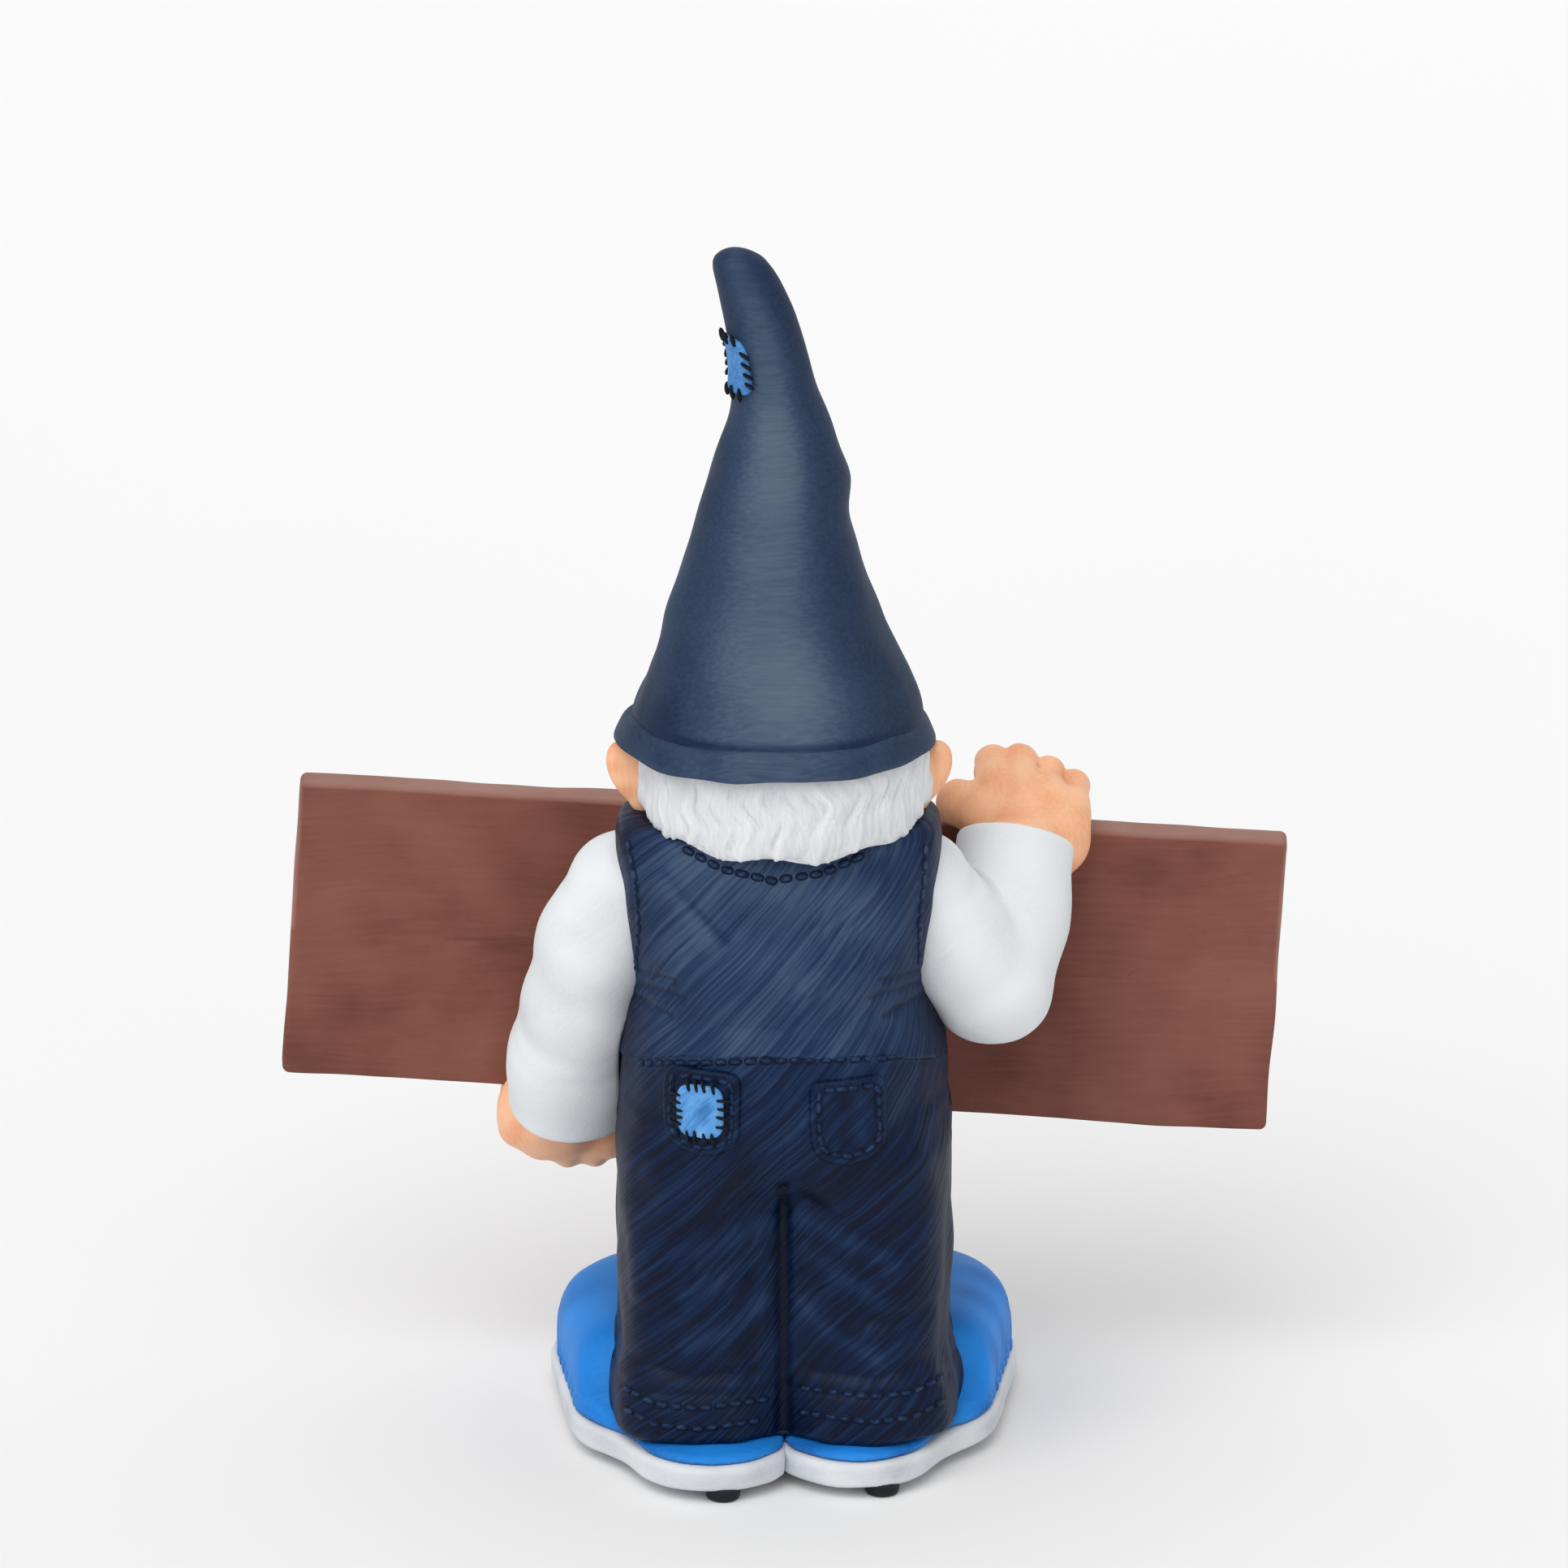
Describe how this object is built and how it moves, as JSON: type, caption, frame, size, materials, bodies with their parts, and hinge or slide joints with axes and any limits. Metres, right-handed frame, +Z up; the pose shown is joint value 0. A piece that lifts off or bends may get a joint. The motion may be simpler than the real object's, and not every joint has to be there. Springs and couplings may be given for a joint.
{
  "type": "garden gnome figurine with sign board",
  "caption": "Standing resin gnome in a tall bent hat and overalls that holds a blank sign board across its chest.",
  "frame": {"origin": "on the ground, at the centre of the figure's footprint box", "axes": "+Z up, the gnome faces -Y, its left hand is on +X"},
  "size_m": [0.2126, 0.099, 0.267],
  "materials": {
    "hat_resin": "matt paint with dry-brushed highlights",
    "overalls_resin": "matt paint with dry-brushed strokes",
    "patch_resin": "matt paint",
    "thread_paint": "matt paint",
    "shirt_resin": "satin paint",
    "skin_resin": "satin paint",
    "hair_resin": "matt paint with a grey wash in the grooves",
    "shoe_resin": "satin paint",
    "sole_resin": "matt paint",
    "cleat_resin": "matt paint",
    "board_resin": "matt paint",
    "eye_paint": "gloss paint",
    "button_paint": "gloss paint"
  },
  "bodies": {
    "root": {"sole_left": "sole_resin", "sole_right": "sole_resin", "shoe_left": "shoe_resin", "shoe_right": "shoe_resin", "cleats_left": "cleat_resin", "cleats_right": "cleat_resin", "trousers": "overalls_resin", "overalls_top": "overalls_resin", "shirt_body": "shirt_resin", "button_left": "button_paint", "button_right": "button_paint", "back_pocket_left": "overalls_resin", "back_pocket_right": "overalls_resin", "seat_patch": "patch_resin", "seat_patch_stitches": "thread_paint", "head": "skin_resin", "ear_left": "skin_resin", "ear_right": "skin_resin", "nose": "skin_resin", "eye_left": "eye_paint", "eye_right": "eye_paint", "eyebrow_left": "hair_resin", "eyebrow_right": "hair_resin", "moustache": "hair_resin", "beard": "hair_resin", "hair": "hair_resin", "hat": "hat_resin", "hat_brim": "hat_resin", "hat_patch": "patch_resin", "hat_patch_stitches": "thread_paint", "sign_board": "board_resin", "hand_left": "skin_resin", "hand_right": "skin_resin", "sleeve_left": "shirt_resin", "sleeve_right": "shirt_resin"}
  },
  "joints": []
}
